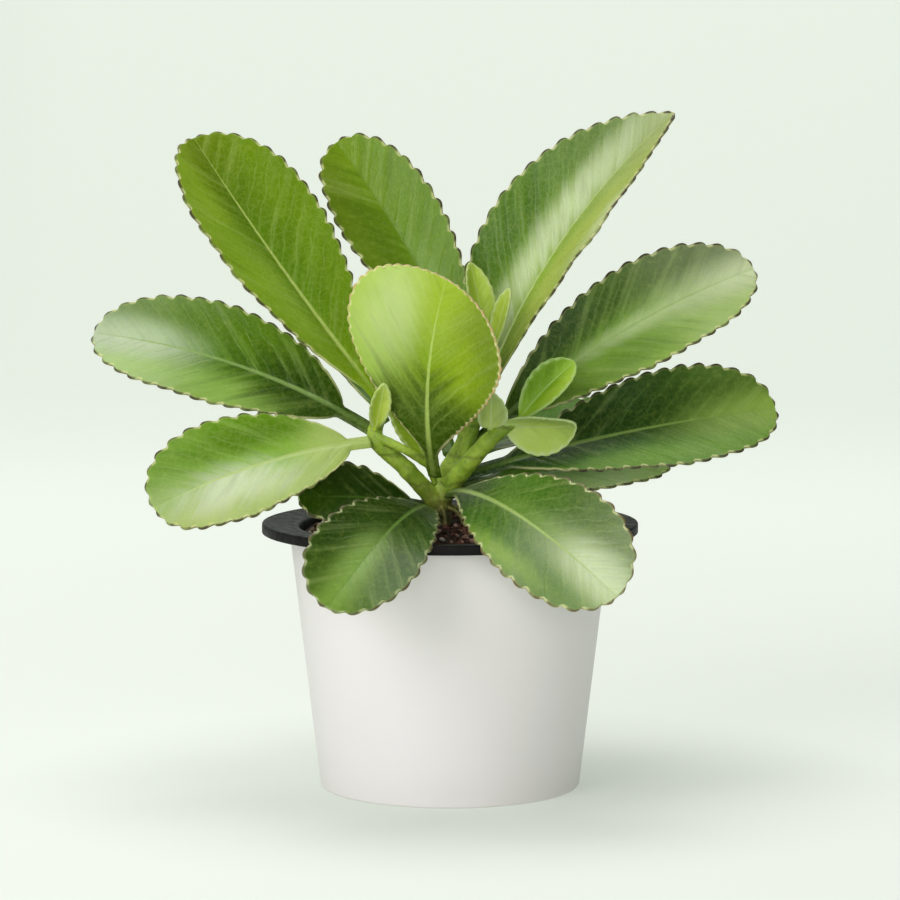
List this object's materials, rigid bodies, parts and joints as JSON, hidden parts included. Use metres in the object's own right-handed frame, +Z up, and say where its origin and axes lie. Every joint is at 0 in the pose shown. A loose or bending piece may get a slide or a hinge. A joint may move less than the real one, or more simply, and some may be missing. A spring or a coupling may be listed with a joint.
{
  "type": "potted kalanchoe",
  "caption": "Leafy succulent with broad scalloped leaves, rooted in a black nursery pot that hangs by its lip in a smooth white tapered planter.",
  "frame": {"origin": "centre of the planter's flat base, on the surface it stands on", "axes": "+Z up along the planter's axis; -Y is the side the picture shows; +X is to the right in the picture"},
  "size_m": [0.279, 0.1951, 0.2726],
  "materials": {
    "white_planter": "smooth satin",
    "black_pot": "satin, lightly scuffed",
    "potting_soil": "rough bark and peat",
    "green_stem": "smooth waxy",
    "leaf_green": "waxy satin, fleshy",
    "leaf_bright": "waxy satin, fleshy",
    "leaf_dark": "waxy satin, fleshy"
  },
  "bodies": {
    "root": {"planter": "white_planter", "nursery_pot": "black_pot", "soil": "potting_soil", "stem": "green_stem", "leaf_upper_left": "leaf_green", "leaf_back_left": "leaf_green", "leaf_front_centre": "leaf_bright", "leaf_upper_right": "leaf_green", "leaf_right": "leaf_green", "leaf_lower_right": "leaf_dark", "leaf_under_right": "leaf_green", "leaf_front_right": "leaf_green", "leaf_lower_left": "leaf_green", "leaf_left": "leaf_green", "leaf_shaded_left": "leaf_dark", "leaf_front_left": "leaf_green", "leaf_young_right": "leaf_bright", "leaf_cupped_right": "leaf_bright", "leaf_tip_left": "leaf_bright", "leaf_tip_right": "leaf_bright", "leaf_node_left": "leaf_bright", "leaf_inner_left": "leaf_bright", "leaf_bract_right": "leaf_bright", "leaf_far_centre": "leaf_green", "leaf_far_right": "leaf_dark", "leaf_far_left": "leaf_green", "leaf_far_low": "leaf_dark"}
  },
  "joints": []
}
